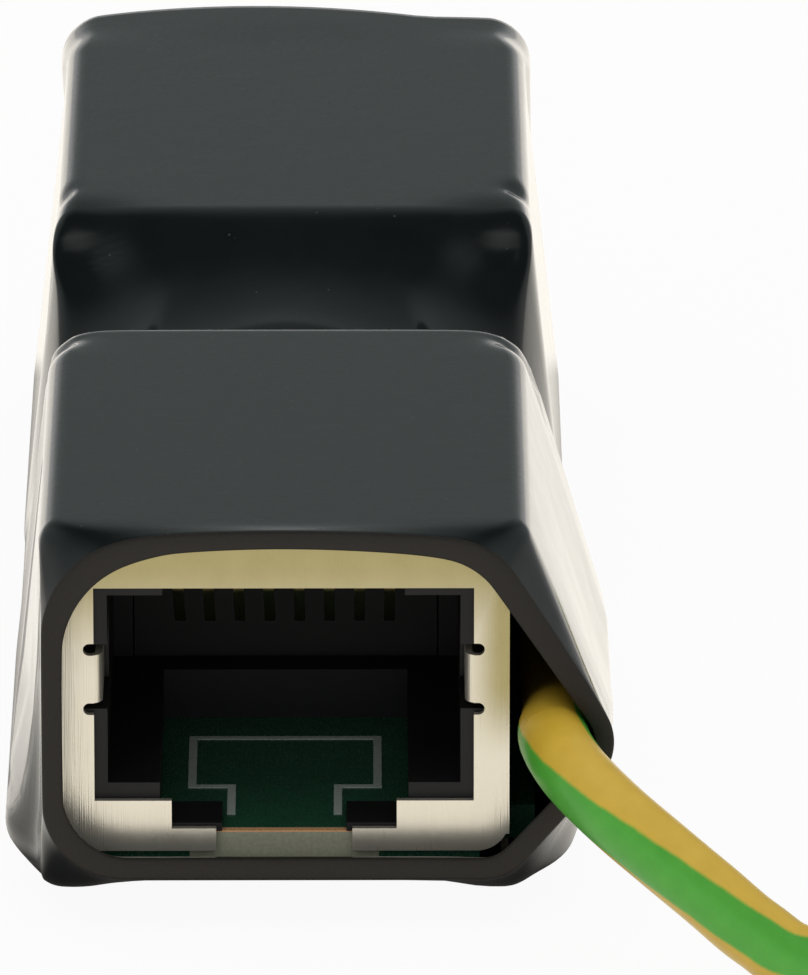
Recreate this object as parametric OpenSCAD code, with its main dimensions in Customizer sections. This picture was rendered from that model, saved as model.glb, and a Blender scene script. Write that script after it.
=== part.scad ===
// In-line network surge protector: two shielded modular sockets back to back on one
// circuit board, with the protection parts between them, in one heat-shrink sleeve.
// Sizes are in millimetres. X is to the right and Y is away, seen from the front socket.
// The origin is on the surface that the sleeve rests on, below the middle of the sleeve.

/* [Sockets] */
// Width of the space that takes the plug
plug_w = 11.9; // [11.8:0.1:12.2]
// Height of the space that takes the plug
plug_h = 6.7; // [6.6:0.05:6.9]
// Depth of the plug space
plug_d = 13; // [12.4:0.1:13.6]
// Height of the plug space's floor above the board
plug_floor = 1.75; // [1.6:0.05:1.9]
// Wall of the housing on each side of the plug space
side_wall = 1.35; // [1.2:0.05:1.8]
// Wall of the housing above the plug space
roof_wall = 1.85; // [1.7:0.05:2.4]
// Depth of the housing behind the plug space
back_d = 5.9; // [5.4:0.1:8]
// Thickness of the shield's sheet
shield_t = 0.25; // [0.2:0.05:0.35]
// Running clearance between pieces that slide together
fit = 0.05; // [0.03:0.01:0.08]
// Width of the floor's opening for the plug's latch
latch_w = 8.4; // [8:0.1:9]
// Width of the slot between the two latch stops
latch_slot_w = 4.2; // [4:0.1:4.6]
// Depth of the latch stops
latch_stop_d = 2.4; // [2:0.1:3]
// Height of the latch stops above the board
latch_stop_h = 0.3; // [0.25:0.05:0.6]

/* [Shield cut-out] */
// How far the cut-out in the shield's face reaches past each side of the plug space
cutout_side = 0.45; // [0.3:0.05:0.6]
// How far the cut-out reaches below the plug space
cutout_below = 0.55; // [0.4:0.05:0.7]
// How far the cut-out reaches above the plug space
cutout_above = 0.35; // [0.2:0.05:0.6]
// Width of the step below the cut-out
step_w = 7.6; // [7:0.1:8]
// Height of the step's lower edge above the board
step_floor = 0.2; // [0.1:0.05:0.4]
// Width of the slot between the shield's two feet
foot_slot_w = 4.6; // [4.2:0.1:5]
// How far the feet reach below the top of the board
foot_drop = 0.6; // [0.4:0.05:0.8]
// Radius of the face's two lower corners
foot_r = 1.1; // [0.6:0.1:1.4]
// Height of the earth spring's middle above the plug space's floor
spring_up = 3.8; // [3.5:0.05:4.1]
// Height of the earth spring's strip
spring_h = 1.7; // [1.4:0.1:2]
// Width of the notch above and below the earth spring
notch_w = 0.42; // [0.3:0.02:0.5]
// Length of the earth spring into the socket
spring_l = 3.2; // [2.6:0.1:4]

/* [Contacts] */
// Number of contacts in a socket
contact_n = 8; // [8]
// Distance from one contact to the next
contact_pitch = 1.02; // [1:0.01:1.04]
// Width of a contact's wire
contact_w = 0.36; // [0.3:0.02:0.42]
// Thickness of a contact's wire
contact_t = 0.3; // [0.26:0.02:0.34]
// Slope of a contact's spring, in degrees
contact_slope = 27; // [24:1:30]
// Height of the room for the contacts above the plug space
contact_room = 1.1; // [1:0.05:1.4]
// Length of a contact's spring
contact_l = 7.2; // [6.4:0.1:7.6]

/* [Board] */
// Width of the circuit board
board_w = 17; // [16.8:0.1:18]
// Thickness of the circuit board
board_t = 1.2; // [1:0.1:1.6]
// Distance between the backs of the two sockets
socket_gap = 14.8; // [14.4:0.1:18]
// Distance from a socket's face back to the board's edge
board_inset = 0.35; // [0.3:0.05:0.6]
// Width of the cut at each of the board's corners
corner_cut_w = 1.9; // [1.6:0.1:2.2]
// Length of the cut at each of the board's corners
corner_cut_l = 2.5; // [2:0.1:3]
// How far the contacts reach below the board
pin_out = 0.4; // [0.3:0.05:0.5]
// How far the shield's pegs reach below the board
peg_out = 1.15; // [0.7:0.05:1.3]
// Width of a shield peg
peg_w = 1.2; // [1:0.1:1.6]
// Distance from a socket's face back to the middle of its pegs
peg_y = 3.6; // [3.4:0.1:5]

/* [Protection parts] */
// Diameter of a gas discharge tube
tube_d = 5; // [4.6:0.1:5.4]
// Length of a gas discharge tube
tube_l = 8; // [7.6:0.1:8.4]
// Distance between the middles of the two gas discharge tubes
tube_pitch = 6; // [5.6:0.1:6.4]
// Diameter of a gas discharge tube's lead
tube_lead_d = 0.8; // [0.6:0.1:0.9]
// Length of a diode array's body
array_l = 3.8; // [3.4:0.1:4]
// Width of a diode array's body
array_w = 3; // [2.6:0.1:3.2]
// Height of a diode array above the board
array_h = 2.3; // [1.8:0.1:2.4]
// Distance between the middles of the diode arrays along the board
array_pitch = 9.8; // [9.6:0.1:10.2]

/* [Sleeve] */
// Wall of the shrunk sleeve
wall = 0.55; // [0.5:0.05:0.8]
// How far the sleeve reaches past the front socket's face
front_lip = 1.4; // [1:0.1:2]
// How far the sleeve reaches past the rear socket's face
rear_lip = 4; // [2:0.1:5]
// How much further the rear lip reaches in its middle
rear_arch = 0.8; // [0:0.1:1]
// Space between the sleeve and what it is shrunk over
sleeve_fit = 0.1; // [0.08:0.01:0.15]
// Slack of the sleeve beside the front socket, on the earth lead's side
front_slack = 0.15; // [0.1:0.05:0.4]
// Slack of the sleeve beside the rear socket, on the same side
rear_slack = 0.35; // [0.1:0.05:0.6]

/* [Earth lead] */
// Diameter of the earth lead over its insulation
lead_d = 2.4; // [2.2:0.1:2.4]
// Gap between the earth lead and the socket that it passes
lead_gap = 0.5; // [0.3:0.05:0.8]
// Diameter of the earth lead's bare core
core_d = 1.4; // [1.2:0.1:1.6]
// Length of the bare core that is soldered to the board
core_l = 3; // [2.4:0.1:3.4]
// Diameter of the ring terminal's hole
ring_hole = 4.3; // [4.3:0.1:5.3]
// Outer diameter of the ring terminal's tongue
ring_d = 8; // [7.6:0.1:9]
// Thickness of the ring terminal's tongue
ring_t = 0.8; // [0.7:0.1:1]
// Outer diameter of the ring terminal's barrel
barrel_d = 3; // [2.8:0.1:3.2]
// Length of the ring terminal's barrel
barrel_l = 5; // [4.4:0.1:6]
// Wall of the shrunk cover on the barrel
cover_t = 0.25; // [0.2:0.05:0.4]
// Length of the shrunk cover over the insulation
cover_over = 4; // [3:0.5:6]

/* [Hidden] */
sides = ["front", "rear"];
contact_names = [for (s = sides) for (i = [1:contact_n]) str(s, "_contact_", i)];

// Small overlap that keeps joined and cut shapes clean
eps = 0.01;
arc_n = 32;

// Sizes of a socket that follow from the plug and its walls
socket_w = plug_w + 2 * (side_wall + fit + shield_t);
plug_roof = plug_floor + plug_h;
socket_h = plug_roof + roof_wall + fit + shield_t;
socket_d = plug_d + back_d + fit + shield_t;
cutout_w = plug_w + 2 * cutout_side;
cutout_floor = plug_floor - cutout_below;
cutout_roof = plug_roof + cutout_above;
spring_z = plug_floor + spring_up;

// Places along the board, from the front socket's face
rear_back = socket_d + socket_gap;
rear_face = 2 * socket_d + socket_gap;
gap_mid = rear_face / 2;

// The sleeve's reach to each side of the sockets' middle, and below the board
ear_back = 0.35;
ear_r = norm([ear_back, board_t / 2]) + sleeve_fit;
ear_reach = board_w / 2 - ear_back + ear_r + wall;
lead_room = sleeve_fit + 0.05;
lead_x = socket_w / 2 + lead_d / 2 + lead_gap;
lead_reach = lead_x + lead_d / 2 + lead_room + wall;
bump_drop = board_t + peg_out + sleeve_fit + wall;

// The origin of the sockets' own frame: face of the front socket, top of the board
origin_x = (ear_reach - lead_reach) / 2;
origin_y = (front_lip - rear_face - rear_lip - rear_arch) / 2;
origin_z = bump_drop;

function ease(t) = let (u = min(max(t, 0), 1)) u * u * (3 - 2 * u);
function mix(a, b, t) = a + (b - a) * t;

// Route of the earth lead, in the sockets' frame, from the board to the ring terminal
lead_floor = lead_d / 2 - bump_drop + 0.05;
end_floor = barrel_d / 2 + cover_t - bump_drop;
lead_start = [8.6, gap_mid - 3, lead_d / 2 + 0.1];
lead_inside = [
    lead_start,
    [8.9, lead_start[1] - 1.6, 1.35],
    [lead_x - 0.15, socket_d + 0.8, 1.35],
    [lead_x, socket_d - 2.2, 1.4],
    [lead_x, socket_d - 5.2, 1.4],
    [lead_x, 10, 1.6],
    [lead_x, 6, 2.3],
    [lead_x - 0.05, 3, 3.1],
    [lead_x - 0.15, 1, 3.6]];
lead_outside = [
    [lead_x - 0.2, -1.2, 3.8],
    [lead_x + 0.4, -3.3, 3.45],
    [11, -5.2, 2.7],
    [12.6, -6.5, 1.7],
    [14.2, -7.4, 0.6],
    [15.8, -8, -0.6],
    [17.6, -8.2, lead_floor + 0.2],
    [21.5, -7.1, lead_floor],
    [24.4, -4.2, lead_floor],
    [25.5, -0.2, lead_floor],
    [25.5, 10, lead_floor],
    [25.5, 20, lead_floor],
    [25.5, 31, lead_floor],
    [25.5, 41.2, lead_floor],
    [26.5, 44.8, lead_floor],
    [29.1, 47.4, lead_floor],
    [32.7, 48.4, lead_floor],
    [36.3, 47.4, lead_floor],
    [38.9, 44.8, lead_floor],
    [39.9, 41.2, lead_floor],
    [39.9, 31, lead_floor],
    [39.9, 22, end_floor],
    [39.9, 16, end_floor],
    [39.9, 12, end_floor]];
lead_route = concat(lead_inside, lead_outside);
lead_end = lead_route[len(lead_route) - 1];

// Smooth curve through the route's points, with steps pieces from each to the next
function on_curve(a, b, c, d, t) =
    ((d - a + 3 * (b - c)) * t * t * t + (2 * a - 5 * b + 4 * c - d) * t * t + (c - a) * t) / 2 + b;
function curve(p, steps) =
    let (last = len(p) - 1)
    concat([for (i = [0:last - 1]) for (k = [0:steps - 1])
        on_curve(p[max(i - 1, 0)], p[i], p[i + 1], p[min(i + 2, last)], k / steps)],
        [p[last]]);
function unit(v) = v / norm(v);

// Tube swept along a line of points, with its rings square to the line
module sweep_tube(line, r, n) {
    last = len(line) - 1;
    rings = [for (i = [0:last])
        let (
            along = unit(line[min(i + 1, last)] - line[max(i - 1, 0)]),
            side = unit(cross(along, [0, 0, 1])),
            up = cross(side, along))
        [for (k = [0:n - 1])
            line[i] + r * (cos(360 * (k + 0.5) / n) * side + sin(360 * (k + 0.5) / n) * up)]];
    polyhedron(
        [for (ring = rings) each ring],
        concat(
            [[for (k = [n - 1:-1:0]) k]],
            [[for (k = [0:n - 1]) last * n + k]],
            [for (i = [0:last - 1]) for (k = [0:n - 1])
                [i * n + k, i * n + (k + 1) % n, (i + 1) * n + (k + 1) % n, (i + 1) * n + k]]),
        convexity = 10);
}

// Extrusion of a flat XZ outline from y0 to y1
module along_y(y0, y1) {
    translate([0, y1, 0])
    rotate([90, 0, 0])
    linear_extrude(y1 - y0)
    children();
}

// Extrusion of a flat YZ outline of width w about x
module across_x(x, w) {
    translate([x - w / 2, 0, 0])
    rotate([90, 0, 90])
    linear_extrude(w)
    children();
}

module in_frame() {
    translate([origin_x, origin_y, origin_z])
    children();
}

// One end of the protector: the front as it is, the rear turned about the board's middle
module at_end(side) {
    in_frame()
    translate([0, side == "front" ? 0 : rear_face, 0])
    rotate([0, 0, side == "front" ? 0 : 180])
    children();
}

// Rectangle from z0 to z1, w wide, with two rounded upper corners
module arched_rect(w, z0, z1, r) {
    translate([-w / 2, z0])
    square([w, z1 - z0 - r]);
    translate([-w / 2 + r, z0])
    square([w - 2 * r, z1 - z0]);
    for (x = [-1, 1])
    translate([x * (w / 2 - r), z1 - r])
    circle(r, $fn = arc_n);
}

module middle_rect(w, z0, z1) {
    translate([-w / 2, z0])
    square([w, z1 - z0]);
}

// Shield: one folded sheet with a cut-out face, two earth springs, feet and pegs
bend_r = 0.5;
spring_in = 0.2;
spring_root = cutout_w / 2 + 0.15;
module cutout_outline() {
    middle_rect(cutout_w, cutout_floor, cutout_roof);
    middle_rect(step_w, step_floor, cutout_floor + eps);
    middle_rect(foot_slot_w, -foot_drop - 1, step_floor + eps);
    for (x = [-1, 1], z = [-1, 1])
    translate([x * spring_root, spring_z + z * (spring_h + notch_w) / 2])
    circle(notch_w / 2, $fn = arc_n);
    for (z = [-1, 1])
    translate([0, spring_z + z * (spring_h + notch_w) / 2])
    middle_rect(2 * spring_root, -notch_w / 2, notch_w / 2);
}

// Lower part of the face, with two rounded corners
module feet_outline() {
    middle_rect(socket_w - 2 * foot_r, -foot_drop, eps);
    intersection() {
        middle_rect(socket_w, -foot_drop, foot_r);
        for (x = [-1, 1])
        translate([x * (socket_w / 2 - foot_r), foot_r - foot_drop])
        circle(foot_r, $fn = 2 * arc_n);
    }
}

module earth_spring() {
    bend_out = spring_in + shield_t;
    translate([0, 0, spring_z - spring_h / 2])
    linear_extrude(spring_h) {
        translate([spring_root, 0])
        square([notch_w, shield_t]);
        intersection() {
            translate([spring_root, bend_out])
            difference() {
                circle(bend_out, $fn = arc_n);
                circle(spring_in, $fn = arc_n);
            }
            translate([spring_root - bend_out, 0])
            square(bend_out);
        }
        translate([spring_root - bend_out, bend_out - eps])
        square([shield_t, spring_l - bend_out]);
    }
}

module shield() {
    color([0.78, 0.76, 0.68]) {
        difference() {
            union() {
                along_y(0, socket_d)
                arched_rect(socket_w, 0, socket_h, bend_r);
                along_y(0, shield_t)
                feet_outline();
            }
            along_y(shield_t, socket_d - shield_t)
            arched_rect(socket_w - 2 * shield_t, -1, socket_h - shield_t, bend_r - shield_t);
            along_y(-1, shield_t + eps)
            cutout_outline();
            translate([-socket_w / 2 + shield_t, shield_t, -1])
            cube([socket_w - 2 * shield_t, socket_d - 2 * shield_t, 1 + eps]);
        }
        for (x = [0, 1])
        mirror([x, 0, 0]) {
            earth_spring();
            translate([socket_w / 2 - shield_t, peg_y - peg_w / 2, -board_t - peg_out])
            cube([shield_t, peg_w, board_t + peg_out + eps]);
        }
    }
}

// Housing: moulded block with the plug space, latch floor, spring pockets and contact roof
housing_w = socket_w - 2 * shield_t - 2 * fit;
housing_h = socket_h - shield_t - fit;
housing_y0 = shield_t + fit;
housing_y1 = socket_d - shield_t - fit;
roof_w = contact_n * contact_pitch;
roof_z = plug_roof + contact_room;
block_w = roof_w + 2.4;
block_z = roof_z + 0.35;
pocket_x = spring_root - spring_in - shield_t - fit;
module housing() {
    color([0.13, 0.13, 0.14])
    difference() {
        along_y(housing_y0, housing_y1)
        arched_rect(housing_w, 0, housing_h, bend_r - shield_t);
        along_y(-1, plug_d)
        middle_rect(plug_w, plug_floor, plug_roof);
        along_y(-1, plug_d)
        middle_rect(roof_w, plug_roof - eps, roof_z);
        along_y(latch_stop_d, plug_d - 1.4)
        middle_rect(latch_w, -1, plug_floor + eps);
        along_y(-1, latch_stop_d + eps)
        middle_rect(latch_w, latch_stop_h, plug_floor + eps);
        along_y(-1, latch_stop_d + eps)
        middle_rect(latch_slot_w, -1, latch_stop_h + eps);
        for (x = [0, 1])
        mirror([x, 0, 0])
        translate([plug_w / 2 - eps, -1, spring_z - spring_h / 2 - 0.3])
        cube([pocket_x + shield_t + 0.5 - plug_w / 2, spring_l + 1.3, spring_h + 0.6]);
        along_y(plug_d - eps, socket_d)
        middle_rect(block_w, -1, block_z);
    }
}

// Contact block: carries the contacts behind and above the plug space
block_y0 = plug_d + fit;
module contact_block() {
    color([0.09, 0.09, 0.1])
    difference() {
        along_y(block_y0, housing_y1)
        middle_rect(block_w - 2 * fit, 0, block_z - fit);
        for (i = [0:contact_n - 1])
        across_x(contact_x(i), contact_w + 2 * fit)
        contact_outline(tail_y(i), fit);
    }
}

// Contact: one bent wire, from its pin through the board to its sloping spring
contact_z = roof_z - contact_t / 2 - 0.25;
nose_r = 0.5;
nose_y = 1.9;
tail_front_y = plug_d + 1.6;
tail_step = 2.54;
function contact_x(i) = (i - (contact_n - 1) / 2) * contact_pitch;
function tail_y(i) = tail_front_y + (i % 2) * tail_step;
module contact_outline(tail, grow) {
    t = contact_t + 2 * grow;
    translate([tail - t / 2, -board_t - pin_out])
    square([t, contact_z + t / 2 + board_t + pin_out]);
    translate([nose_y, contact_z - t / 2])
    square([tail - nose_y, t]);
    translate([nose_y, contact_z - nose_r])
    difference() {
        circle(nose_r + t / 2, $fn = arc_n);
        circle(nose_r - t / 2, $fn = arc_n);
        for (turn = [0, -contact_slope])
        rotate(turn)
        translate([eps, -2])
        square(4);
    }
    translate([nose_y, contact_z - nose_r])
    rotate(-contact_slope)
    translate([0, -nose_r - t / 2])
    square([contact_l, t]);
}

module contact(i) {
    color([0.85, 0.7, 0.35])
    across_x(contact_x(i), contact_w)
    contact_outline(tail_y(i), 0);
}

// Solder joints below the board, one cone round each contact pin of a socket
module solder_cone(x, y, hole_x, hole_y, r) {
    translate([x, y, -board_t - pin_out + eps])
    difference() {
        cylinder(h = pin_out - eps, r1 = r * 0.6, r2 = r, $fn = arc_n);
        translate([-hole_x / 2, -hole_y / 2, -1])
        cube([hole_x, hole_y, 3]);
    }
}

pad_r = 0.42;
module socket_solder() {
    color([0.75, 0.76, 0.78])
    for (i = [0:contact_n - 1])
    solder_cone(contact_x(i), tail_y(i), contact_w, contact_t, pad_r);
}

// Circuit board with its corner cuts and its holes for pins, pegs and leads
board_l = rear_face - 2 * board_inset;
pin_hole_d = 0.6;
lead_hole_d = tube_lead_d + 0.2;
tube_lead_x = tube_l / 2 - 0.7;
module socket_holes() {
    for (i = [0:contact_n - 1])
    translate([contact_x(i), tail_y(i), -board_t - 1])
    cylinder(h = board_t + 2, d = pin_hole_d, $fn = arc_n);
    for (x = [-1, 1])
    translate([x * (socket_w - shield_t) / 2, peg_y, -board_t / 2])
    cube([shield_t + 4 * fit, peg_w + 4 * fit, board_t + 2], center = true);
}

module circuit_board() {
    color([0.05, 0.24, 0.17])
    in_frame()
    difference() {
        translate([-board_w / 2, board_inset, -board_t])
        cube([board_w, board_l, board_t]);
        for (x = [-1, 1], y = [board_inset, rear_face - board_inset])
        translate([x * board_w / 2, y, -board_t / 2])
        cube([2 * corner_cut_w, 2 * corner_cut_l, board_t + 2], center = true);
        socket_holes();
        translate([0, rear_face, 0])
        rotate(180)
        socket_holes();
        for (x = [-1, 0, 1], y = [-1, 1])
        translate([x * tube_lead_x, gap_mid + y * tube_pitch / 2, -board_t - 1])
        cylinder(h = board_t + 2, d = lead_hole_d, $fn = arc_n);
    }
}

// Printed outline of the latch window on the board, under both sockets
print_w = 6.6;
print_neck_w = 3.9;
print_line = 0.28;
print_t = 0.03;
print_y = [1.9, 4.5, plug_d - 3.4];
module print_outline() {
    for (x = [0, 1])
    mirror([x, 0, 0]) {
        translate([print_neck_w / 2 - print_line, print_y[0], 0])
        cube([print_line, print_y[1] - print_y[0] + print_line, print_t]);
        translate([print_neck_w / 2 - print_line, print_y[1], 0])
        cube([(print_w - print_neck_w) / 2 + print_line, print_line, print_t]);
        translate([print_w / 2 - print_line, print_y[1], 0])
        cube([print_line, print_y[2] - print_y[1], print_t]);
        translate([-eps, print_y[2] - print_line, 0])
        cube([print_w / 2 + eps, print_line, print_t]);
    }
}

module board_outline_print() {
    color([0.85, 0.88, 0.85])
    for (s = sides)
    at_end(s)
    print_outline();
}

// Gas discharge tube: ceramic body between two end caps and a middle ring, with three leads
tube_lift = 0.2;
tube_step = 0.2;
module gas_tube(y) {
    color([0.8, 0.78, 0.74])
    in_frame()
    translate([0, y, tube_lift + tube_d / 2]) {
        rotate([0, 90, 0])
        cylinder(h = tube_l, d = tube_d - 2 * tube_step, center = true, $fn = 48);
        for (x = [-1, 0, 1]) {
            translate([x * tube_lead_x, 0, 0])
            rotate([0, 90, 0])
            cylinder(h = 1.4, d = tube_d, center = true, $fn = 48);
            translate([x * tube_lead_x, 0, -tube_lift - tube_d / 2 - board_t - pin_out])
            cylinder(h = board_t + pin_out + tube_lift + 0.6, d = tube_lead_d, $fn = arc_n);
        }
    }
}

module tube_solder_joints() {
    color([0.75, 0.76, 0.78])
    in_frame()
    for (x = [-1, 0, 1], y = [-1, 1])
    translate([x * tube_lead_x, gap_mid + y * tube_pitch / 2, -board_t - pin_out + eps])
    difference() {
        cylinder(h = pin_out - eps, r1 = tube_lead_d * 0.7, r2 = tube_lead_d, $fn = arc_n);
        translate([0, 0, -1])
        cylinder(h = 3, d = tube_lead_d, $fn = arc_n);
    }
}

// Diode array: moulded body on four flat feet
array_x = tube_l / 2 + array_w / 2 + 0.3;
foot_t = 0.2;
foot_w = 0.7;
module diode_array(x, y) {
    color([0.1, 0.1, 0.11])
    in_frame()
    translate([x * array_x, gap_mid + y * array_pitch / 2, 0]) {
        translate([-array_w / 2, -array_l / 2, foot_t - eps])
        cube([array_w, array_l, array_h - foot_t]);
        for (side = [-1, 1], row = [-1, 1])
        translate([side * (array_w / 2 - foot_w / 2), row * array_l / 4, foot_t / 2])
        cube([foot_w, foot_w, foot_t], center = true);
    }
}

// Sleeve: at each place along it, the wall is drawn taut round a set of circles
tube_top = tube_lift + tube_d + 0.05;
peg_floor = -board_t - peg_out - sleeve_fit;
crown_fall = [7, 2.5];
corner_fall = [7.2, 2];
bump_half = 1.1;
bump_r = 0.5;
rear_draw = 1.2;

// Radius, outward reach and drop of the lip's corners: [front left, front right, rear left, rear right]
top_rim_r = [3.2, 2.3, 0.8, 1];
top_rim_out = [-0.15, 0, 0.05, 0.3];
low_rim_r = [2.3, 1.3, 2.3, 1.3];
low_rim_out = [-0.15, 0.3, -0.15, 0.3];
rim_under = 0.34;
rim_over = -0.1;
function rim(table, y, side) = table[(y < gap_mid ? 0 : 2) + (side > 0 ? 1 : 0)];

// How far the sleeve has sunk into the gap: steep at a socket, flatter further in
function drape(y, grow, form) =
    let (into = max(0, min(y - socket_d, rear_back - y) - 0.9 * grow))
    1 - pow(1 - min(into / form[0], 1), form[1]);
// 0 where the sleeve has its lip's form, 1 from the distance past inward from a face
function lip_state(y, grow, past) =
    min(
        ease((y + front_lip + 0.4 * grow) / (front_lip + past)),
        ease((rear_face + rear_draw - y + 0.4 * grow) / (rear_draw + past)));
function slack_at(y) = mix(front_slack, rear_slack, ease((y - socket_d) / socket_gap));
function bump_at(y) = ease(1 - max(0, abs(y) - peg_w / 2) / bump_half);
function bump(y) = max(bump_at(y - peg_y), bump_at(y - rear_face + peg_y));
function lead_at(y, k) = lookup(y, [for (p = concat(lead_inside, [lead_outside[0]])) [p[1], p[k]]]);

// Circle at a top corner of the sockets. side is -1 on the left and 1 on the right
function top_circle(y, grow, side) =
    let (
        corner_r = 0.35,
        room = side > 0 ? slack_at(y) : 0,
        r = rim(top_rim_r, y, side),
        top = socket_h + sleeve_fit,
        over = [side * (socket_w / 2 + sleeve_fit + room - corner_r), top - corner_r, corner_r],
        low = [side * (array_x + array_w / 2 - 0.4), array_h - 0.4, 0.8],
        lip = [side * (socket_w / 2 + rim(top_rim_out, y, side) - r), top + rim_over - r, r])
    mix(lip, mix(over, low, drape(y, grow, corner_fall)), lip_state(y, grow, 0));
// Circle near the middle of the top
function crown_circle(y, grow, side) =
    let (
        r = 0.8,
        top = mix(socket_h, tube_top, drape(y, grow, crown_fall)) + sleeve_fit,
        lift = 0.05 * (1 - lip_state(y, grow, 0)))
    [side * (tube_l / 2 - 0.5), top + lift - r, r];
// Circle at a lower corner of the lip
function low_rim_circle(y, side) =
    let (r = rim(low_rim_r, y, side))
    [side * (socket_w / 2 + rim(low_rim_out, y, side) - r), r - rim_under, r];
// Circle at the board's edge
function ear_circle(y, grow, side) =
    let (
        lip = low_rim_circle(y, side),
        room = side > 0 ? rear_slack : 0,
        wide = lip_state(y, grow, board_inset + corner_cut_l),
        deep = lip_state(y, grow, board_inset))
    [mix(lip[0], side * (board_w / 2 - ear_back + room), wide),
     mix(lip[1], -board_t / 2, deep),
     mix(lip[2], ear_r, deep)];
// Circle under a shield peg
function peg_circle(y, grow, side) =
    let (
        inward = lip_state(y, grow, board_inset + corner_cut_l),
        under = mix(-pin_out * inward - board_t - sleeve_fit, peg_floor, bump(y)),
        own = [side * (socket_w - shield_t) / 2, under + bump_r, bump_r])
    mix(low_rim_circle(y, side), own, lip_state(y, grow, board_inset));
// Circle round the earth lead, drawn into the board's edge behind the front socket
function lead_circle(y) =
    let (away = ease((y - lead_start[1] - 1.2) / 4.5))
    mix([lead_at(y, 0), lead_at(y, 2), lead_d / 2 + lead_room],
        [board_w / 2 - ear_back, 0, 0.4], away);
function circles(y, grow) = [
    top_circle(y, grow, 1), top_circle(y, grow, -1),
    crown_circle(y, grow, 1), crown_circle(y, grow, -1),
    ear_circle(y, grow, 1), ear_circle(y, grow, -1),
    peg_circle(y, grow, 1), peg_circle(y, grow, -1),
    lead_circle(y)];

// The point of the taut outline whose outward direction is at the angle a
tautness = 8;
function outline_point(c, grow, a) =
    let (
        out = [cos(a), sin(a)],
        reach = [for (k = c) k[0] * out[0] + k[1] * out[1] + k[2]],
        far = max(reach),
        share = [for (h = reach) exp(tautness * (h - far))],
        all = share * [for (h = share) 1],
        x = share * [for (k = c) k[0] + (k[2] + grow) * out[0]] / all,
        z = share * [for (k = c) k[1] + (k[2] + grow) * out[1]] / all)
    [x, z];
// The rear lip is cut with its middle further back
function arch_y(y, p) =
    rear_arch * ease((y - rear_face) / rear_lip) * max(0, 1 - pow(p[0] / 7, 2)) * ease((p[1] - 5) / 4);
function ring(y, grow) =
    let (c = circles(y, grow))
    [for (a = outline_angles)
        let (p = outline_point(c, grow, a))
        [p[0], y + arch_y(y, p), p[1]]];

// Angles round the outline, close together where it faces sideways, up or down
outline_n = 48;
outline_angles = [for (i = [0:outline_n - 1])
    let (t = 360 * i / outline_n)
    t - 11.4 * sin(4 * t)];

// Places of the rings: close together on the lips, the pegs and the walls of the gap
lip_steps = [0, 0.15, 0.35, 0.6, 0.85, 1];
wall_steps = [0, 0.35, 0.8, 1.2, 1.6, 2, 2.5, 3.1, 4, 5.2];
bump_mid = (peg_w + bump_half) / 2;
bump_end = peg_w / 2 + bump_half;
bump_steps = [-bump_end, -bump_mid, -peg_w / 2, peg_w / 2, bump_mid, bump_end];
ring_places = concat(
    [for (t = lip_steps) -front_lip + t * front_lip],
    [board_inset, 1.1],
    [for (d = bump_steps) peg_y + d],
    [7.5, 11, 15],
    [for (d = wall_steps) socket_d + d],
    [gap_mid],
    [for (i = [len(wall_steps) - 1:-1:0]) rear_back - wall_steps[i]],
    [for (y = [14, 9]) rear_face - y],
    [for (d = bump_steps) rear_face - peg_y + d],
    [for (y = [1.1, board_inset]) rear_face - y],
    [for (i = [len(lip_steps) - 1:-1:0]) rear_face + rear_lip - lip_steps[i] * rear_lip]);

module shrink_sleeve() {
    n = outline_n;
    m = len(ring_places);
    outer = [for (y = ring_places) each ring(y, wall)];
    inner = [for (y = ring_places) each ring(y, 0)];
    function at(layer, i, k) = layer * n * m + i * n + k % n;
    color([0.12, 0.13, 0.13])
    in_frame()
    polyhedron(
        concat(outer, inner),
        concat(
            [for (i = [0:m - 2]) for (k = [0:n - 1])
                each [[at(0, i, k), at(0, i + 1, k), at(0, i + 1, k + 1)],
                      [at(0, i, k), at(0, i + 1, k + 1), at(0, i, k + 1)]]],
            [for (i = [0:m - 2]) for (k = [0:n - 1])
                each [[at(1, i, k), at(1, i + 1, k + 1), at(1, i + 1, k)],
                      [at(1, i, k), at(1, i, k + 1), at(1, i + 1, k + 1)]]],
            [for (k = [0:n - 1])
                each [[at(0, 0, k), at(0, 0, k + 1), at(1, 0, k + 1)],
                      [at(0, 0, k), at(1, 0, k + 1), at(1, 0, k)]]],
            [for (k = [0:n - 1])
                each [[at(0, m - 1, k), at(1, m - 1, k), at(1, m - 1, k + 1)],
                      [at(0, m - 1, k), at(1, m - 1, k + 1), at(0, m - 1, k + 1)]]]),
        convexity = 10);
}

// Earth lead with its bare ends
module earth_wire() {
    color([0.85, 0.72, 0.2])
    in_frame()
    sweep_tube(lead_line, lead_d / 2, 8);
}

lead_line = curve(lead_route, 2);
core_dir = unit(lead_line[0] - lead_line[1]);
module core(from, dir, l) {
    color([0.75, 0.42, 0.25])
    in_frame()
    translate(from)
    rotate([0, 0, atan2(dir[1], dir[0])])
    rotate([0, 90, 0])
    translate([0, 0, fit])
    cylinder(h = l - fit, d = core_d, $fn = arc_n);
}

module earth_core_board_end() {
    core(lead_start, core_dir, core_l);
}

// Solder: a low mound on the board that holds the bare core
module earth_solder() {
    color([0.75, 0.76, 0.78])
    in_frame()
    difference() {
        translate([lead_start[0], lead_start[1], 0])
        rotate([0, 0, atan2(core_dir[1], core_dir[0])])
        translate([0.6, -core_d * 0.6, 0])
        cube([core_l - 0.8, core_d * 1.2, lead_start[2]]);
        translate(lead_start)
        rotate([0, 0, atan2(core_dir[1], core_dir[0])])
        rotate([0, 90, 0])
        translate([0, 0, -1])
        cylinder(h = core_l + 2, d = core_d, $fn = arc_n);
    }
}

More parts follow.
